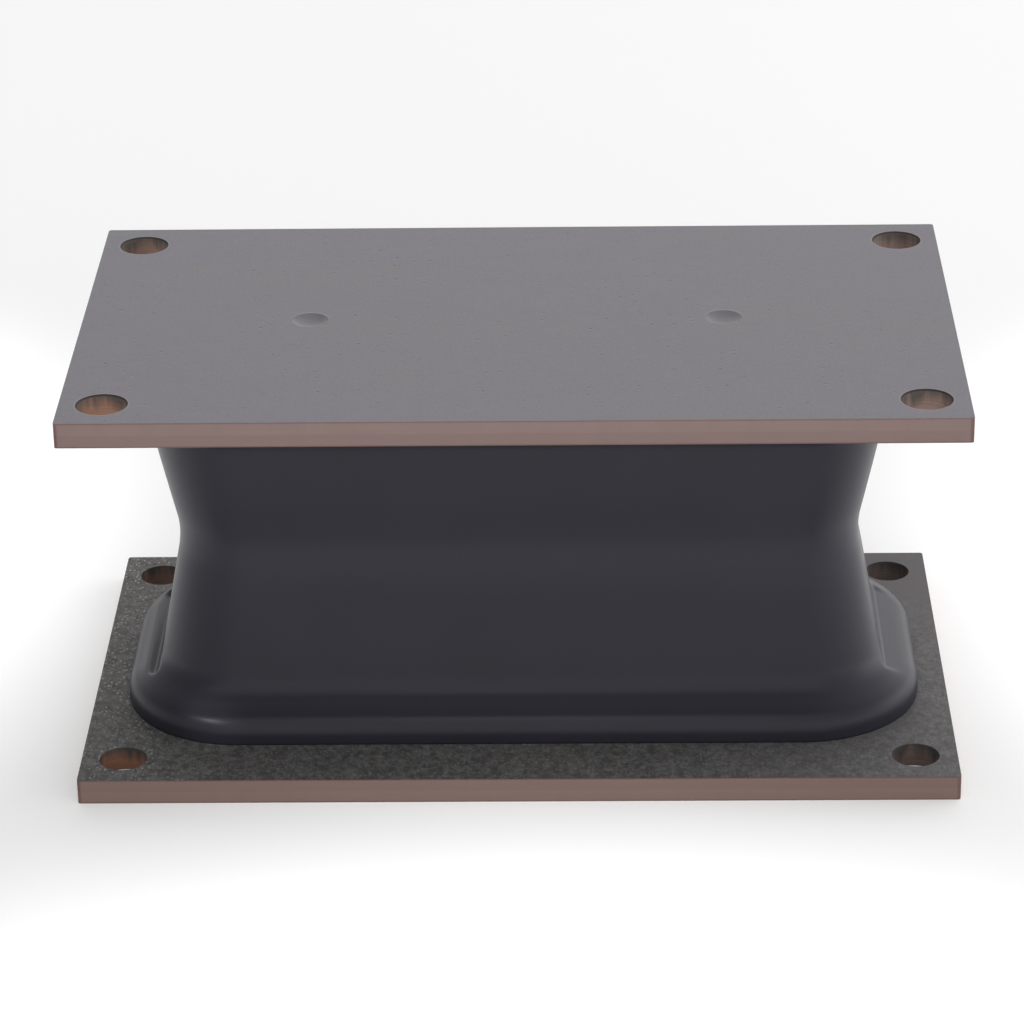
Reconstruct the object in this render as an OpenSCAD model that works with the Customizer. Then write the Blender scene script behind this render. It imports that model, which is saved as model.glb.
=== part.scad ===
// Rubber shock mount: one waisted rubber block, moulded and bonded between two flat steel plates.
// The origin is the middle of the bottom plate's underside. X runs along the plates, Z points up.

/* [Plates] */
// Length of each steel plate, along X
plate_l = 240; // [220:1:320]
// Width of each steel plate, along Y
plate_w = 140; // [130:1:200]
// Thickness of each steel plate
plate_t = 7; // [5:0.5:14]
// Height of the whole mount over both plates
mount_h = 113; // [100:1:160]
// Radius of the plates' four upright corner edges
plate_corner_r = 0.8; // [0.4:0.1:4]

/* [Bolt holes] */
// Diameter of the bolt holes, clearance for M12
hole_d = 13; // [8:0.5:14]
// From a short end of the plate to the hole centres
hole_from_end = 11.5; // [9.5:0.5:13]
// From a long edge of the plate to the hole centres
hole_from_side = 12.5; // [9.5:0.5:14]
// Chamfer where a hole comes out of the plate's outer face
hole_chamfer = 0.5; // [0.2:0.1:1.2]

/* [Dimples] */
// Diameter of the two shallow dimples in the top plate's outer face
dimple_d = 10; // [6:0.5:16]
// Depth of the dimples
dimple_depth = 1.2; // [0.5:0.1:2.5]
// Distance between the dimples' centres, along X
dimple_pitch = 114; // [60:1:160]

/* [Rubber foot and bead] */
// From a short end of the plate to the foot of the rubber
foot_from_end = 8; // [5:0.5:14]
// From a long edge of the plate to the foot of the rubber
foot_from_side = 20; // [16:0.5:24]
// Corner radius of the rubber's outline at the plates
foot_corner_r = 34; // [26:0.5:38]
// Height of the bead's upright side
bead_side_h = 2.5; // [1:0.5:6]
// Radius that rounds the bead over
bead_r = 6; // [4:0.5:8]
// Angle through which the bead is rounded before the shelf begins
bead_turn = 59; // [54:1:64]
// Length of the shelf that slopes up from the bead to the hollow
shelf_l = 5.8; // [2:0.2:6.4]
// Radius of the hollow between the shelf and the wall
hollow_r = 8; // [6:0.5:10]

/* [Rubber waist] */
// How far the waist is drawn in from the foot, all the way round
waist_in = 17.5; // [15:0.5:20]
// Corner radius of the block at the waist
waist_corner_r = 20; // [12:0.5:20]
// Radius that blends the two leaning walls at the waist
waist_blend_r = 30; // [12:1:36]

/* [End grooves] */
// Width of the round-bottomed groove at the foot of the wall at each end
groove_w = 3.6; // [2:0.2:4.4]
// From the foot's short end to the middle of the groove
groove_from_foot = 9.2; // [8.4:0.1:9.6]
// Length of the groove over its round ends
groove_l = 54; // [30:1:56]
// Height of the groove's bottom above the plate
groove_bottom_h = 8.7; // [7.5:0.1:9.5]

/* [Hidden] */
steel_dark = [0.33, 0.32, 0.32];
steel_grey = [0.52, 0.51, 0.53];
rubber_black = [0.21, 0.21, 0.23];
round_fn = 64;
small_fn = 32;
cut_past = 1;

rubber_h = mount_h - 2 * plate_t;
mid_h = rubber_h / 2;
foot_l = plate_l - 2 * foot_from_end;
foot_w = plate_w - 2 * foot_from_side;
hole_x = plate_l / 2 - hole_from_end;
hole_y = plate_w / 2 - hole_from_side;
groove_x = foot_l / 2 - groove_from_foot;
// A ball of this radius leaves a dimple of the wanted diameter and depth
dimple_ball_r = (pow(dimple_d / 2, 2) + pow(dimple_depth, 2)) / (2 * dimple_depth);
corner_steps = 12;
arc_steps = 8;

// The block's section is taken as [how far it is drawn in from the foot, height above the plate].
// A convex arc rounds the bead, a straight shelf slopes up behind it, a concave arc turns that into the
// straight leaning wall, and another blends the two walls at mid-height. Each meets the next on a common
// tangent.
hollow_centre = [bead_r * (1 - cos(bead_turn)) + shelf_l * sin(bead_turn) - hollow_r * cos(bead_turn),
                 bead_side_h + (bead_r + hollow_r) * sin(bead_turn) + shelf_l * cos(bead_turn)];
blend_centre = [waist_in - waist_blend_r, mid_h];
centres = blend_centre - hollow_centre;
wall_lean = acos((hollow_r - waist_blend_r) / norm(centres)) - atan2(centres.y, centres.x);
lower_section = concat(
    [[0, 0]],
    [for (i = [0:arc_steps])
        let (turn = bead_turn * i / arc_steps)
        [bead_r * (1 - cos(turn)), bead_side_h + bead_r * sin(turn)]],
    [for (i = [0:arc_steps])
        let (turn = bead_turn + (wall_lean - bead_turn) * i / arc_steps)
        hollow_centre + hollow_r * [cos(turn), -sin(turn)]],
    [for (i = [arc_steps:-1:0])
        let (turn = wall_lean * i / arc_steps)
        blend_centre + waist_blend_r * [cos(turn), -sin(turn)]]);
// The block is the same above mid-height as below it
whole_section = concat(
    lower_section,
    [for (i = [len(lower_section) - 2:-1:0]) [lower_section[i].x, rubber_h - lower_section[i].y]]);

// Corner points of a rounded rectangle, going round it once
function rounded_outline(length, width, r) = [
    for (corner = [0:3]) for (step = [0:corner_steps])
        let (angle = 90 * (corner + step / corner_steps),
             side_x = corner == 0 || corner == 3 ? 1 : -1,
             side_y = corner < 2 ? 1 : -1)
        [side_x * (length / 2 - r) + r * cos(angle), side_y * (width / 2 - r) + r * sin(angle)]
];

// The block's outline at one point of its section. The corners are concentric at the foot and tighten
// less and less towards the waist.
function rubber_outline(point) =
    let (in = point.x, r = waist_corner_r + (foot_corner_r - waist_corner_r) * pow(1 - in / waist_in, 2))
    [for (p = rounded_outline(foot_l - 2 * in, foot_w - 2 * in, r)) [p.x, p.y, point.y]];

// Skin through a stack of outlines that all have the same number of points
module loft(sections) {
    count = len(sections[0]);
    last = len(sections) - 1;
    points = [for (section = sections) for (p = section) p];
    sides = [
        for (i = [0:last - 1]) for (j = [0:count - 1])
            let (a = i * count + j, b = i * count + (j + 1) % count)
            each [[a, a + count, b + count], [a, b + count, b]]
    ];
    bottom = [for (j = [0:count - 1]) j];
    top = [for (j = [count - 1:-1:0]) last * count + j];
    polyhedron(points, concat([bottom], sides, [top]));
}

// What fills one end groove: round at the bottom and at both ends, and open upwards
module groove_filling(length, width, height) {
    reach = (length - width) / 2;
    rotate([90, 0, 0]) cylinder(d = width, h = 2 * reach, center = true, $fn = small_fn);
    for (y = [-reach, reach]) translate([0, y, 0]) {
        sphere(d = width, $fn = small_fn);
        cylinder(d = width, h = height, $fn = small_fn);
    }
    translate([-width / 2, -reach, 0]) cube([width, 2 * reach, height]);
}

// One steel plate with its underside at Z 0 and its outer face up
module drilled_plate() {
    difference() {
        union() {
            for (turn = [0, 1])
                translate([0, 0, plate_t / 2])
                    cube([plate_l - 2 * turn * plate_corner_r, plate_w - 2 * (1 - turn) * plate_corner_r,
                          plate_t], center = true);
            for (x = [-1, 1], y = [-1, 1])
                translate([x * (plate_l / 2 - plate_corner_r), y * (plate_w / 2 - plate_corner_r), 0])
                    cylinder(r = plate_corner_r, h = plate_t, $fn = round_fn);
        }
        for (x = [-hole_x, hole_x], y = [-hole_y, hole_y])
            translate([x, y, 0]) {
                translate([0, 0, -cut_past]) cylinder(d = hole_d, h = plate_t + 2 * cut_past, $fn = round_fn);
                translate([0, 0, plate_t - hole_chamfer])
                    cylinder(r1 = hole_d / 2, r2 = hole_d / 2 + 2 * hole_chamfer, h = 2 * hole_chamfer,
                             $fn = round_fn);
            }
    }
}

module bottom_plate() {
    color(steel_dark)
        translate([0, 0, plate_t]) mirror([0, 0, 1]) drilled_plate();
}

module top_plate() {
    color(steel_grey)
        translate([0, 0, mount_h - plate_t])
            difference() {
                drilled_plate();
                for (x = [-dimple_pitch / 2, dimple_pitch / 2])
                    translate([x, 0, plate_t - dimple_depth + dimple_ball_r])
                        sphere(r = dimple_ball_r, $fn = round_fn);
            }
}

// The grooves at the foot of the wall, one at each end of the block
module lower_grooves() {
    for (x = [-groove_x, groove_x])
        translate([x, 0, groove_bottom_h + groove_w / 2])
            groove_filling(groove_l, groove_w, hollow_centre.y - groove_bottom_h);
}

module rubber_block() {
    color(rubber_black)
        translate([0, 0, plate_t])
            difference() {
                loft([for (point = whole_section) rubber_outline(point)]);
                lower_grooves();
                translate([0, 0, rubber_h]) mirror([0, 0, 1]) lower_grooves();
            }
}

bottom_plate();
rubber_block();
top_plate();
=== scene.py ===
import math
from types import SimpleNamespace

import bpy
import numpy as np
from mathutils import Matrix, Vector


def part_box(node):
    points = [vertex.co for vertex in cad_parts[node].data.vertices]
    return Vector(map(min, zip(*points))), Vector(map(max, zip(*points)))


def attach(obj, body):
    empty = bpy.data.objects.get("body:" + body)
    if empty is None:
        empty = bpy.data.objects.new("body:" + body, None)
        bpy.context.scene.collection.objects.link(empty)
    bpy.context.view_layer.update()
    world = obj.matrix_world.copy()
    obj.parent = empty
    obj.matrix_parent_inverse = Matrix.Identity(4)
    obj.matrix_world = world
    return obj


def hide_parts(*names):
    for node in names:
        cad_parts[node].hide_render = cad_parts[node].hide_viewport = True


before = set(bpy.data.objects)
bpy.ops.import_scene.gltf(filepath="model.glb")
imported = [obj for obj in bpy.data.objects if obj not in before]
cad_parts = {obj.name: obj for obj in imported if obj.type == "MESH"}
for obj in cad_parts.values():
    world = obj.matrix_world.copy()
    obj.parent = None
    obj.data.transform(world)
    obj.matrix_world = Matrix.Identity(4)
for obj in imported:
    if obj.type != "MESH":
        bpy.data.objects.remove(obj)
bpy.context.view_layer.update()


# The plates. Two equal steel flats, sawn to length and drilled for M12. Their outer faces are smooth and
# phosphated grey, their inner faces were grit-blasted so that rubber bonds to them, and a brown film of
# bonding agent was left on the sawn edges and in the holes. The rubber is cured onto both in one mould.
plate_low, plate_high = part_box("bottom_plate")
half_length = plate_high.x
half_width = plate_high.y
hole_inset_x = 0.0115
hole_inset_y = 0.0125
hole_radius = 0.0065
chamfer_reach = 0.001
dimple_radius = 0.005
face_skin = 0.002
edge_band = 0.001
wall_slack = 0.00004
to_rear_right = (0.60, 0.80, 0.0)


def put(tree, socket, value):
    """Links another node's output to the socket, or sets the socket to a plain value."""
    if isinstance(value, bpy.types.NodeSocket):
        tree.links.new(value, socket)
    else:
        socket.default_value = value


def add(tree, kind, sockets=(), **settings):
    """Adds one shader node, sets its fields, then links or sets each named socket."""
    made = tree.nodes.new("ShaderNode" + kind)
    for field, value in settings.items():
        setattr(made, field, value)
    for name, value in dict(sockets).items():
        put(tree, made.inputs[name], value)
    return made


def number(tree, operation, first, second=0.0):
    """The result of one sum on sockets or plain numbers."""
    return add(tree, "Math", {0: first, 1: second}, operation=operation).outputs[0]


def product(tree, first, *others):
    """Sockets or plain numbers multiplied together."""
    for other in others:
        first = number(tree, "MULTIPLY", first, other)
    return first


def rest_of(tree, share):
    """What a share leaves of the whole: 1 minus it."""
    return number(tree, "SUBTRACT", 1.0, share)


def distance(tree, x, y):
    """The length of a line with these two legs: the root of the sum of their squares."""
    return number(tree, "SQRT", number(tree, "ADD", product(tree, x, x), product(tree, y, y)))


def between(tree, value, low, high, start=0.0, end=1.0):
    """Start where value is low, end where it is high, and a straight change between them."""
    ramp = add(tree, "MapRange", {"Value": value, "From Min": low, "From Max": high,
                                  "To Min": start, "To Max": end})
    return ramp.outputs[0]


def mixed(tree, share, first, second):
    """The first colour where share is 0, the second where it is 1."""
    mix = add(tree, "Mix", {0: share, 6: first, 7: second}, data_type="RGBA")
    return mix.outputs[2]


def stretched(tree, place, scale):
    """The object's coordinates in metres times a scale for each axis."""
    return add(tree, "Mapping", {"Vector": place, "Scale": scale}).outputs[0]


def noise(tree, place, cells, detail=3.0, roughness=0.5):
    """Fractal noise from 0 to 1, with one number of cells to the metre, or one for each axis."""
    if isinstance(cells, tuple):
        place, cells = stretched(tree, place, cells), 1.0
    made = add(tree, "TexNoise", {"Vector": place, "Scale": cells, "Detail": detail, "Roughness": roughness})
    return made.outputs[0]


def specks(tree, place, pitch, size, share):
    """Round specks about size across, scattered about pitch apart, in that share of the cells: 1 inside."""
    cells = add(tree, "TexVoronoi", {"Vector": place, "Scale": 1.0 / pitch, "Randomness": 1.0})
    lucky = number(tree, "LESS_THAN", add(tree, "SeparateXYZ", {0: cells.outputs["Color"]}).outputs[0], share)
    inside = between(tree, cells.outputs["Distance"], 0.25 * size / pitch, 0.5 * size / pitch, 1.0, 0.0)
    return product(tree, inside, lucky)


def colour(red, green, blue):
    """An opaque colour from its linear parts."""
    return (red, green, blue, 1.0)


def new_material(name):
    """A material and its shader."""
    material = bpy.data.materials.new(name)
    material.use_nodes = True
    return material, material.node_tree.nodes["Principled BSDF"]


def places_on_plate(tree, inner_z, outer_z):
    """Where a point of the plate lies: its coordinates and its distances from edges, faces and holes.

    Past_end and past_side are negative on the plate. To_outer runs from 0 on the inner face to 1 on the outer
    one, and sunk is 1 where a point lies off both faces by more than face_skin of that way."""
    place = add(tree, "TexCoord").outputs["Object"]
    x, y, z = add(tree, "SeparateXYZ", {0: place}).outputs
    out_x, out_y = [number(tree, "ABSOLUTE", along) for along in (x, y)]
    to_outer = between(tree, z, inner_z, outer_z)
    hole_x = number(tree, "SUBTRACT", out_x, half_length - hole_inset_x)
    hole_y = number(tree, "SUBTRACT", out_y, half_width - hole_inset_y)
    rearwards = add(tree, "VectorMath", {0: place, 1: to_rear_right}, operation="DOT_PRODUCT")
    return SimpleNamespace(
        place=place, x=x, y=y, z=z, out_x=out_x, to_outer=to_outer,
        sunk=product(tree, number(tree, "GREATER_THAN", to_outer, face_skin),
                     number(tree, "LESS_THAN", to_outer, 1 - face_skin)),
        past_end=number(tree, "SUBTRACT", out_x, half_length),
        past_side=number(tree, "SUBTRACT", out_y, half_width),
        from_hole=distance(tree, hole_x, hole_y),
        rearwards=rearwards.outputs["Value"])


def phosphated_face(tree, at, chamfer, dimple_out):
    """The outer face's colour, roughness and relief.

    Even grey in purplish and greenish patches, fine marks along X, and small pits in loose rows. Each pit has
    painted shade behind and a painted highlight on its front lip. The dimples get a painted highlight on their
    front and front lip, and the holes have a painted highlight on the rim round a chamfer painted dark as
    shade."""
    patches = noise(tree, at.place, (9.0, 30.0, 20.0), 3.0, 0.55)
    marks = noise(tree, at.place, (220.0, 1500.0, 60.0), 4.0, 0.6)
    grain = noise(tree, at.place, 1400.0, 3.0, 0.6)
    grey = mixed(tree, between(tree, patches, 0.44, 0.56),
                 colour(0.174, 0.160, 0.190), colour(0.171, 0.165, 0.176))
    grey = mixed(tree, between(tree, marks, 0.33, 0.67, 0.0, 0.42), grey, colour(0.205, 0.195, 0.217))
    grey = mixed(tree, between(tree, grain, 0.32, 0.68, 0.0, 0.32), grey, colour(0.097, 0.091, 0.106))

    pitted = between(tree, noise(tree, at.place, (14.0, 24.0, 20.0), 2.0), 0.40, 0.60, 0.35, 1.0)
    lips = add(tree, "Mapping", {"Vector": at.place, "Location": (0.0, 0.0005, 0.0)}).outputs[0]
    pits, pit_lips = [
        product(tree, pitted, specks(tree, where, pitch=0.0045, size=0.0010, share=0.60))
        for where in (at.place, lips)]
    nicks, nick_lips = [
        product(tree, pitted, specks(tree, stretched(tree, where, (0.45, 1.0, 1.0)),
                                     pitch=0.0024, size=0.0006, share=0.50))
        for where in (at.place, lips)]
    lit_lips = number(tree, "MAXIMUM", pit_lips, nick_lips)
    # Painted highlights on the front lips of the pits and nicks, and painted shade in the pits and nicks
    # themselves.
    grey = mixed(tree, product(tree, lit_lips, 0.45), grey, colour(0.27, 0.26, 0.28))
    grey = mixed(tree, product(tree, pits, 0.75), grey, colour(0.05, 0.047, 0.05))
    grey = mixed(tree, product(tree, nicks, 0.60), grey, colour(0.06, 0.057, 0.06))

    # A painted highlight on a thin ring round each hole's chamfer.
    rim_highlight = between(tree, at.from_hole, hole_radius + chamfer_reach / 2, hole_radius + chamfer_reach, 1.0, 0.0)
    grey = mixed(tree, product(tree, rim_highlight, 0.50), grey, colour(0.30, 0.295, 0.31))
    # The chamfer is painted dark, as shade.
    grey = mixed(tree, chamfer, grey, colour(0.060, 0.052, 0.051))

    # Painted highlight on the front of each dimple and on its front lip.
    from_dimple = distance(tree, number(tree, "SUBTRACT", at.out_x, dimple_out), at.y)
    front_of_dimple = product(tree, between(tree, from_dimple, dimple_radius - 0.0006, dimple_radius, 1.0, 0.0),
                              between(tree, at.y, -dimple_radius, 0.004, 0.45, 0.0))
    off_lip = number(tree, "ABSOLUTE", number(tree, "SUBTRACT", from_dimple, dimple_radius + 0.0005))
    lip_of_dimple = product(tree, between(tree, off_lip, 0.0001, 0.0005, 0.35, 0.0),
                            between(tree, at.y, 0.0, 0.004))
    lit_dimple = number(tree, "MAXIMUM", front_of_dimple, lip_of_dimple)
    grey = mixed(tree, lit_dimple, grey, colour(0.25, 0.245, 0.265))

    rough = between(tree, marks, 0.3, 0.7, 0.50, 0.60)
    relief = number(tree, "ADD", product(tree, marks, 0.12),
                    product(tree, number(tree, "ADD", pits, nicks), -0.8))
    return grey, rough, relief


def blasted_face(tree, at):
    """The inner face's colour and relief.

    Dark and grit-blasted, with painted glints and dark pits in loose clusters, most of them at the left end and
    round the holes; the pits' darkness is painted shade. It is lighter towards the right end, and smoother and
    pinkish at the right rear corner, where the grit was spent."""
    coarse = noise(tree, at.place, (650.0, 480.0, 500.0), 4.0, 0.70)
    fine = noise(tree, at.place, (1500.0, 1100.0, 1500.0), 3.0, 0.6)
    smears = noise(tree, at.place, (18.0, 30.0, 18.0), 3.0, 0.6)
    wavering = product(tree, noise(tree, at.place, 18.0, 2.0), 0.03)
    smooth = between(tree, number(tree, "ADD", at.rearwards, wavering), 0.085, 0.120)

    loose = between(tree, noise(tree, at.place, (40.0, 60.0, 40.0), 2.0), 0.36, 0.58, 0.35, 1.0)
    round_hole = between(tree, at.from_hole, hole_radius + 0.0015, hole_radius + 0.0040, 1.3, 0.0)
    clustered = product(tree, number(tree, "MAXIMUM", loose, round_hole),
                        between(tree, at.x, -0.112, -0.080, 1.4, 0.50), rest_of(tree, smooth))
    glints = product(tree, clustered, specks(tree, stretched(tree, at.place, (1.0, 0.7, 1.0)),
                                             pitch=0.0011, size=0.0008, share=0.65))
    hollows = product(tree, clustered, specks(tree, stretched(tree, at.place, (1.0, 0.8, 1.0)),
                                              pitch=0.0014, size=0.0009, share=0.45))

    dark = mixed(tree, between(tree, coarse, 0.39, 0.61),
                 colour(0.056, 0.054, 0.052), colour(0.162, 0.157, 0.155))
    dark = mixed(tree, between(tree, fine, 0.35, 0.70, 0.0, 0.6), dark, colour(0.074, 0.071, 0.069))
    dark = mixed(tree, between(tree, smears, 0.50, 0.68, 0.0, 0.35), dark, colour(0.120, 0.104, 0.100))
    # The pits are painted dark as shade, and the glints are painted highlights.
    dark = mixed(tree, product(tree, hollows, 0.60), dark, colour(0.020, 0.019, 0.019))
    dark = mixed(tree, product(tree, glints, 0.60), dark, colour(0.33, 0.318, 0.313))
    # Lighter towards the right end.
    dark = mixed(tree, between(tree, at.x, 0.030, 0.100, 0.0, 0.30), dark, colour(0.19, 0.182, 0.186))
    dark = mixed(tree, product(tree, smooth, 0.85), dark, colour(0.112, 0.100, 0.106))

    relief = number(tree, "ADD", number(tree, "ADD", coarse, product(tree, fine, 0.5)),
                    product(tree, number(tree, "SUBTRACT", glints, hollows), 0.5))
    return dark, product(tree, relief, rest_of(tree, smooth))


def sawn_edge(tree, at, edge_brown):
    """The sawn edges' colour: a thin brown film, redder and darker along the arrises."""
    film = noise(tree, at.place, (40.0, 40.0, 500.0), 2.0, 0.5)
    brown = mixed(tree, between(tree, film, 0.30, 0.70, 0.0, 0.06), edge_brown, colour(0.10, 0.07, 0.06))
    to_arris = number(tree, "MINIMUM", at.to_outer, rest_of(tree, at.to_outer))
    past_both = number(tree, "ADD", at.past_end, at.past_side)
    arris = number(tree, "MAXIMUM", between(tree, to_arris, 0.02, 0.07, 1.0, 0.0),
                   between(tree, past_both, -0.0012, -0.0007))
    return mixed(tree, product(tree, arris, 0.60), brown, colour(0.115, 0.045, 0.032))


def hole_wall(tree, at, upper_z, lower_z, copper_wall, brown_wall, dark_wall):
    """The hole walls' colour.

    The wall is painted dark at the upper mouth as shade, bare below and in upright streaks, with fine drill
    rings.
    The bare wall is coppery towards the front left and browner or greyer towards the rear right."""
    depth = between(tree, at.z, upper_z, lower_z)
    streaks = noise(tree, at.place, (330.0, 330.0, 40.0), 3.0, 0.55)
    rings = noise(tree, at.place, (60.0, 60.0, 1800.0), 2.0, 0.5)
    bare_wall = mixed(tree, between(tree, at.rearwards, -0.11, 0.04), copper_wall, brown_wall)
    # Painted shade darkens the upper mouth; upright streaks of bare wall break through it.
    depth_shade_and_bare_streaks = number(tree, "ADD", depth, between(tree, streaks, 0.30, 0.70, -0.30, 0.30))
    wall = mixed(tree, between(tree, depth_shade_and_bare_streaks, 0.10, 0.62), dark_wall, bare_wall)
    return mixed(tree, between(tree, rings, 0.40, 0.70, 0.0, 0.35), wall, dark_wall)


def plate_steel(name, inner_z, outer_z, dimple_out, edge_brown, copper_wall, brown_wall, dark_wall):
    """The finish of one plate, told apart by place: outer face, inner face, sawn edges, and holes.

    Dimple_out is how far the dimples lie from the plate's middle. Off both faces, a point within edge_band of
    the outline is on a sawn edge. A point within wall_slack of a hole's radius is on its wall."""
    material, shader = new_material(name)
    tree = material.node_tree
    at = places_on_plate(tree, inner_z, outer_z)
    outer = number(tree, "GREATER_THAN", at.to_outer, 0.5)
    from_edge = product(tree, number(tree, "MAXIMUM", at.past_end, at.past_side), -1.0)
    edge = product(tree, at.sunk, number(tree, "LESS_THAN", from_edge, edge_band))
    hole = number(tree, "LESS_THAN", at.from_hole, hole_radius + wall_slack)
    chamfer = product(tree, at.sunk, number(tree, "LESS_THAN", at.from_hole, hole_radius + chamfer_reach))

    grey, grey_rough, grey_relief = phosphated_face(tree, at, chamfer, dimple_out)
    dark, dark_relief = blasted_face(tree, at)
    brown = sawn_edge(tree, at, edge_brown)
    wall = hole_wall(tree, at, max(inner_z, outer_z), min(inner_z, outer_z), copper_wall, brown_wall, dark_wall)

    face = mixed(tree, outer, dark, grey)
    shown = mixed(tree, hole, mixed(tree, edge, face, brown), wall)
    tree.links.new(shown, shader.inputs["Base Color"])
    dark_rough, chamfer_rough = 0.70, 0.9
    from_dark = product(tree, outer, number(tree, "SUBTRACT", grey_rough, dark_rough))
    rough = number(tree, "ADD", from_dark, dark_rough)
    rough = number(tree, "MAXIMUM", rough, product(tree, chamfer, chamfer_rough))
    tree.links.new(rough, shader.inputs["Roughness"])
    shader.inputs["Metallic"].default_value = 0.35

    relief = number(tree, "ADD", product(tree, grey_relief, outer),
                    product(tree, dark_relief, rest_of(tree, outer)))
    on_face = rest_of(tree, number(tree, "MAXIMUM", edge, hole))
    bump = add(tree, "Bump", {"Height": product(tree, relief, on_face), "Strength": 0.6, "Distance": 0.0002})
    tree.links.new(bump.outputs[0], shader.inputs["Normal"])
    return material


def finish_plate(node, **finish):
    """Gives one plate of the frame its steel."""
    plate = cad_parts[node]
    plate.data.materials.clear()
    plate.data.materials.append(plate_steel(node + "_steel", **finish))


# The bottom plate's outer face is plain, so its dimples are put where there is no plate
off_the_plate = 1.0
finish_plate("bottom_plate", inner_z=plate_high.z, outer_z=plate_low.z, dimple_out=off_the_plate,
             edge_brown=colour(0.208, 0.139, 0.121), copper_wall=colour(0.330, 0.160, 0.098),
             brown_wall=colour(0.185, 0.138, 0.122), dark_wall=colour(0.066, 0.060, 0.058))


# The rubber block. One solid moulding of black rubber, injected between the plates and bonded to them as it
# cured. It is drawn in to a waist at mid-height, spreads to a rounded bead on each plate, and has a soft
# groove behind the bead at both ends.
rubber_low, rubber_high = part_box("rubber_block")
block_height = rubber_high.z - rubber_low.z
foot_half = np.array([rubber_high.x, rubber_high.y])
foot_corner = 0.034
bead_side = 0.0025
bead_radius = 0.006
bead_turn = math.radians(59.0)
shelf_length = 0.0058
hollow_radius = 0.008
waist_in = 0.0175
waist_corner = 0.020
blend_radius = 0.030
left_set_in = 0.0013
groove_from_foot = 0.0094
groove_reach = 0.024
groove_bottoms = (0.0090, 0.0101)
groove_rises = (-0.30, 0.35)
groove_inner_radius = 0.0004
groove_end_radius = 0.0030
groove_rounding = 0.0002
groove_zone = 0.3
skin_pitch = 0.0005
side_steps, shelf_steps, wall_steps = 5, 7, 33
end_columns, side_columns, corner_columns = 110, 60, 36
rubbed_spot = (-0.0862, -0.0476, 0.0133)


def block_section():
    """The block's section as how far it is drawn in, and its height above the lower plate.

    An upright side, a convex arc over the bead, a straight sloping shelf, a concave arc into the leaning
    wall, and a concave arc round the waist, each meeting the next on a common tangent; then the same again
    upside down."""
    middle = block_height / 2
    out, up = math.cos(bead_turn), math.sin(bead_turn)
    hollow = np.array([bead_radius * (1 - out) + shelf_length * up - hollow_radius * out,
                       bead_side + bead_radius * up + shelf_length * out + hollow_radius * up])
    blend = np.array([waist_in - blend_radius, middle])
    apart = blend - hollow
    lean = math.acos((hollow_radius - blend_radius) / np.hypot(*apart)) - math.atan2(apart[1], apart[0])

    def arc(centre, radius, start, end, outward):
        steps = round(radius * abs(end - start) / skin_pitch)
        turn = np.linspace(start, end, steps + 1)
        return centre + radius * np.stack([-outward * np.cos(turn), outward * np.sin(turn)], 1)

    bead = arc(np.array([bead_radius, bead_side]), bead_radius, 0.0, bead_turn, 1)
    side = np.linspace([0.0, 0.0], bead[0], side_steps + 1)[:-1]
    hollow_arc = arc(hollow, hollow_radius, bead_turn, lean, -1)
    shelf = np.linspace(bead[-1], hollow_arc[0], shelf_steps + 1)[1:]
    blend_arc = arc(blend, blend_radius, lean, 0.0, -1)
    wall = np.linspace(hollow_arc[-1], blend_arc[0], wall_steps + 1)[1:-1]
    lower = np.concatenate([side, bead, shelf, hollow_arc[1:], wall, blend_arc])
    upper = lower[-2::-1] * [1, -1] + [0, block_height]
    return np.concatenate([lower, upper])


def outline_columns():
    """How each column of the skin goes round the block: shares of the straight sides and an angle.

    A column's place is share_x (half length - r) + r cos(angle), share_y (half width - r) + r sin(angle)."""
    share_x, share_y, angle = [], [], []
    for quarter, (sign_x, sign_y) in enumerate(((1, 1), (-1, 1), (-1, -1), (1, -1))):
        along_x = quarter % 2 == 0
        steps = side_columns if along_x else end_columns
        along = 1 - 2 * np.arange(steps) / steps
        share_x += [np.full(corner_columns, sign_x), along * sign_x if along_x else np.full(steps, sign_x)]
        share_y += [np.full(corner_columns, sign_y), np.full(steps, sign_y) if along_x else along * sign_y]
        angle += [math.pi / 2 * (quarter + np.arange(corner_columns) / corner_columns),
                  np.full(steps, math.pi / 2 * (quarter + 1))]
    return np.concatenate(share_x), np.concatenate(share_y), np.concatenate(angle)


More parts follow.
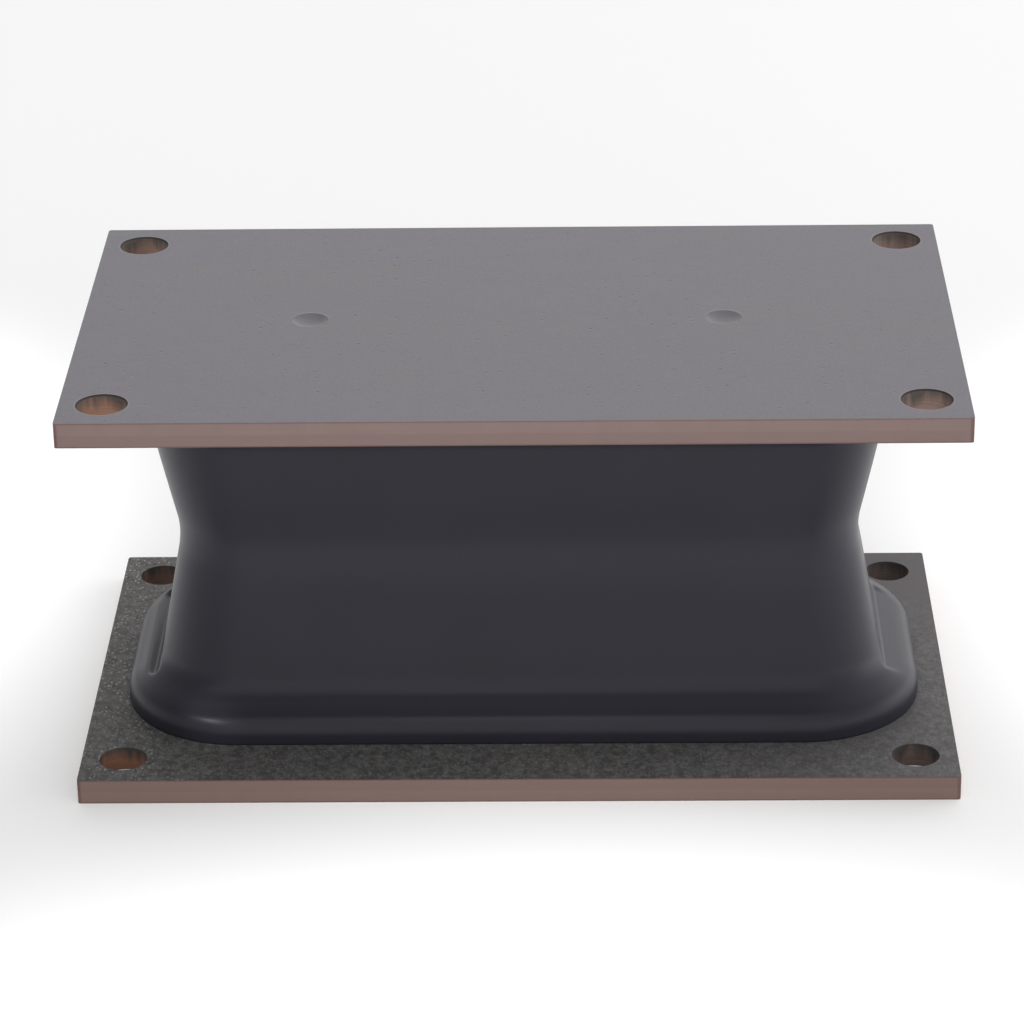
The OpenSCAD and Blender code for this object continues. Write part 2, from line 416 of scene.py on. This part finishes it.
def rubber_skin():
    """The block's skin on a grid of section points by outline columns, in metres.

    The corner radius falls from the foot's to the waist's with the square of what is left to draw in. The left
    end's bead is set in a little more than the right one's, which fades out over the shelf. A groove has a
    floor that falls towards the wall at the left end and rises towards it at the right one; from its bottom
    line it turns up with the square of the distance, towards the wall and past its ends. The skin is the lower
    of the block's and the groove's height, softly rounded where they meet."""
    section = block_section()
    drawn, height = section[:, :1], section[:, 1:]
    share_x, share_y, angle = outline_columns()
    radius = waist_corner + (foot_corner - waist_corner) * (1 - drawn / waist_in) ** 2
    x = share_x * (foot_half[0] - drawn - radius) + radius * np.cos(angle)
    y = share_y * (foot_half[1] - drawn - radius) + radius * np.sin(angle)
    shelf_start = bead_radius * (1 - math.cos(bead_turn))
    on_bead = np.clip(1 - (drawn - shelf_start) / (shelf_length * math.sin(bead_turn)), 0, 1)
    x = x + left_set_in * on_bead * np.maximum(-np.cos(angle), 0)
    inwards = foot_half[0] - groove_from_foot - np.abs(x)
    past_end = np.maximum(np.abs(y) - groove_reach, 0)
    floor_height = (np.where(x < 0, *groove_bottoms) + np.where(x < 0, *groove_rises) * np.minimum(inwards, 0)
                    + np.maximum(inwards, 0) ** 2 / (2 * groove_inner_radius)
                    + past_end ** 2 / (2 * groove_end_radius))
    from_plate = np.minimum(height, block_height - height)
    above = (from_plate - floor_height) / groove_rounding
    sunk = groove_rounding * np.logaddexp(0, above) * (from_plate < groove_zone * block_height)
    z = rubber_low.z + height + np.sign(height - block_height / 2) * sunk
    return np.stack([x, y, z * np.ones_like(x)], -1)


def placed(name, held):
    """Puts an object that holds a mesh, a lamp or a lens into the scene, at the origin."""
    made = bpy.data.objects.new(name, held)
    bpy.context.scene.collection.objects.link(made)
    return made


def skinned(name, grid):
    """A closed mesh from a grid whose columns go round: rows joined by quads, the first and last row capped."""
    rows, columns = grid.shape[:2]
    index = np.arange(rows * columns).reshape(rows, columns)
    right = np.roll(index, -1, 1)
    quads = np.stack([index[:-1], right[:-1], right[1:], index[1:]], -1).reshape(-1, 4)
    mesh = bpy.data.meshes.new(name)
    caps = [index[0, ::-1].tolist(), index[-1].tolist()]
    mesh.from_pydata(grid.reshape(-1, 3).tolist(), [], quads.tolist() + caps)
    smooth = np.ones(len(mesh.polygons), bool)
    smooth[-len(caps):] = False
    mesh.polygons.foreach_set("use_smooth", smooth)
    return placed(name, mesh)


def moulded_rubber():
    """Black rubber as it comes out of the mould: a bluish bloom, painted light that makes it paler in the
    hollows and round the waist, a fine dull grain, slow waves, and a spot on the left front bead that was
    rubbed smoother."""
    material, shader = new_material("moulded_rubber")
    tree = material.node_tree
    place = add(tree, "TexCoord").outputs["Object"]
    bloom = noise(tree, place, 26.0, 3.0, 0.55)
    grain = noise(tree, place, 2600.0, 2.0, 0.5)
    waves = noise(tree, place, (22.0, 22.0, 30.0), 1.0, 0.4)
    black = mixed(tree, between(tree, bloom, 0.35, 0.65),
                  colour(0.0185, 0.0178, 0.0250), colour(0.0210, 0.0203, 0.0285))

    # The hollows lie 38 to 40 mm from mid-height
    upright = add(tree, "SeparateXYZ", {0: place}).outputs[2]
    from_waist = number(tree, "ABSOLUTE", number(tree, "SUBTRACT", upright, rubber_low.z + block_height / 2))
    in_hollow = product(tree, between(tree, from_waist, 0.0350, 0.0385),
                        between(tree, from_waist, 0.0400, 0.0425, 1.0, 0.0))
    at_waist = between(tree, from_waist, 0.003, 0.013, 0.50, 0.0)
    # Painted light: the colour is lifted in the hollows and round the waist.
    painted_light = number(tree, "MAXIMUM", in_hollow, at_waist)
    tree.links.new(mixed(tree, painted_light, black, colour(0.0300, 0.0290, 0.0400)), shader.inputs["Base Color"])

    from_spot = add(tree, "VectorMath", {0: place, 1: rubbed_spot}, operation="DISTANCE").outputs["Value"]
    rubbed = number(tree, "POWER", between(tree, from_spot, 0.0, 0.014, 1.0, 0.0), 2.0)
    dull = between(tree, bloom, 0.3, 0.7, 0.39, 0.42)
    tree.links.new(number(tree, "SUBTRACT", dull, product(tree, rubbed, 0.06)), shader.inputs["Roughness"])
    shader.inputs["Specular IOR Level"].default_value = 0.26
    shader.inputs["Specular Tint"].default_value = colour(0.97, 0.93, 1.0)
    relief = number(tree, "ADD", waves, product(tree, grain, 0.01))
    bump = add(tree, "Bump", {"Height": relief, "Strength": 0.25, "Distance": 0.0008})
    tree.links.new(bump.outputs[0], shader.inputs["Normal"])
    return material


rubber = skinned("rubber_moulding", rubber_skin())
rubber.data.materials.append(moulded_rubber())
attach(rubber, "root")
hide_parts("rubber_block")


# The top plate. The same flat as the bottom one, outer face up, with two shallow dimples where the mould's
# pins held it.
top_low, top_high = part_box("top_plate")
finish_plate("top_plate", inner_z=top_low.z, outer_z=top_high.z, dimple_out=0.057,
             edge_brown=colour(0.228, 0.160, 0.147), copper_wall=colour(0.430, 0.245, 0.170),
             brown_wall=colour(0.370, 0.265, 0.225), dark_wall=colour(0.135, 0.112, 0.102))


# The studio. A white paper floor, exposed until it glows, under a white surround that is dimmer at the left,
# high up at both sides and straight in front. Three spots whiten the paper beside and before the mount, soft
# windows stand at the right and at the rear, and a pencil of light picks out the left front bead.
floor_half = 3.0
floor_mesh = bpy.data.meshes.new("floor")
floor_corners = [(-floor_half, -floor_half, 0), (floor_half, -floor_half, 0), (floor_half, floor_half, 0),
                 (-floor_half, floor_half, 0)]
floor_mesh.from_pydata(floor_corners, [], [(0, 1, 2, 3)])
floor = placed("floor", floor_mesh)
paper, paper_shader = new_material("white_paper")
paper_shader.inputs["Base Color"].default_value = colour(0.93, 0.93, 0.93)
paper_shader.inputs["Roughness"].default_value = 0.9
paper_shader.inputs["Specular IOR Level"].default_value = 0.0
paper_shader.inputs["Emission Color"].default_value = colour(1.0, 1.0, 1.0)
paper_shader.inputs["Emission Strength"].default_value = 0.12
floor.data.materials.append(paper)

world = bpy.data.worlds.new("white_surround")
bpy.context.scene.world = world
world.use_nodes = True
room = world.node_tree
towards = add(room, "TexCoord").outputs["Generated"]
sideways, rearwards = add(room, "SeparateXYZ", {0: towards}).outputs[:2]
either_side = add(room, "VectorMath", {0: towards}, operation="ABSOLUTE").outputs[0]
up_and_out = add(room, "VectorMath", {0: either_side, 1: (0.62, 0.25, 0.74)}, operation="DOT_PRODUCT")
surround = product(room, between(room, sideways, -0.45, -0.15, 0.85, 1.6),
                   between(room, sideways, 0.45, 0.80, 1.0, 1.3),
                   between(room, up_and_out.outputs["Value"], 0.70, 0.97, 1.0, 0.30),
                   between(room, rearwards, -0.95, -0.55, 0.80, 1.0))
room.nodes["Background"].inputs["Color"].default_value = colour(1.0, 1.0, 1.0)
room.links.new(surround, room.nodes["Background"].inputs["Strength"])


def hang(name, lamp, where, at):
    """Puts a lamp at one point and turns it to face another."""
    holder = placed(name, lamp)
    holder.location = where
    holder.rotation_euler = (Vector(at) - Vector(where)).to_track_quat("-Z", "Y").to_euler()


def soft_light(name, where, size, watts):
    """A square lamp that faces the mount's middle."""
    lamp = bpy.data.lights.new(name, "AREA")
    lamp.shape = "SQUARE"
    lamp.size = size
    lamp.energy = watts
    hang(name, lamp, where, at=(0.0, 0.0, 0.05))


def spot(name, where, at, spread, radius, watts):
    """A soft-edged cone of light from a round lamp."""
    lamp = bpy.data.lights.new(name, "SPOT")
    lamp.spot_size = math.radians(spread)
    lamp.spot_blend = 0.4
    lamp.shadow_soft_size = radius
    lamp.energy = watts
    hang(name, lamp, where, at)


spot("right_spot", where=(0.60, 0.25, 0.90), at=(0.36, 0.10, 0.0), spread=28.0, radius=0.05, watts=20.0)
spot("left_spot", where=(-0.60, 0.25, 0.90), at=(-0.36, 0.10, 0.0), spread=28.0, radius=0.05, watts=22.0)
spot("front_spot", where=(0.0, -0.50, 0.95), at=(0.0, -0.26, 0.0), spread=22.0, radius=0.05, watts=23.0)
spot("bead_spot", where=(-0.436, -0.539, 0.669), at=rubbed_spot, spread=1.1, radius=0.004, watts=9.0)
soft_light("right_window", where=(1.30, 0.35, 0.55), size=0.9, watts=3.0)
soft_light("right_rear_window", where=(0.95, 1.05, 0.40), size=0.8, watts=1.0)
soft_light("left_rear_window", where=(-0.95, 1.05, 0.40), size=0.8, watts=0.6)

# The camera stands 1.16 m away, a little right of the middle, and looks down at 25 degrees.
eye = Vector((0.02062, -1.02807, 0.53536))
yaw = math.radians(-1.266)
pitch = math.radians(25.078)
roll = math.radians(-0.881)
forward = Vector((math.sin(yaw) * math.cos(pitch), math.cos(yaw) * math.cos(pitch), -math.sin(pitch)))
level = Vector((math.cos(yaw), -math.sin(yaw), 0.0))
right = math.cos(roll) * level + math.sin(roll) * level.cross(forward)
upward = right.cross(forward)
lens = bpy.data.cameras.new("camera")
lens.lens = 141.623
lens.clip_start = 0.01
camera = placed("camera", lens)
camera.matrix_world = Matrix.Translation(eye) @ Matrix((right, upward, -forward)).transposed().to_4x4()
bpy.context.scene.camera = camera
bpy.context.scene.view_settings.view_transform = "Standard"
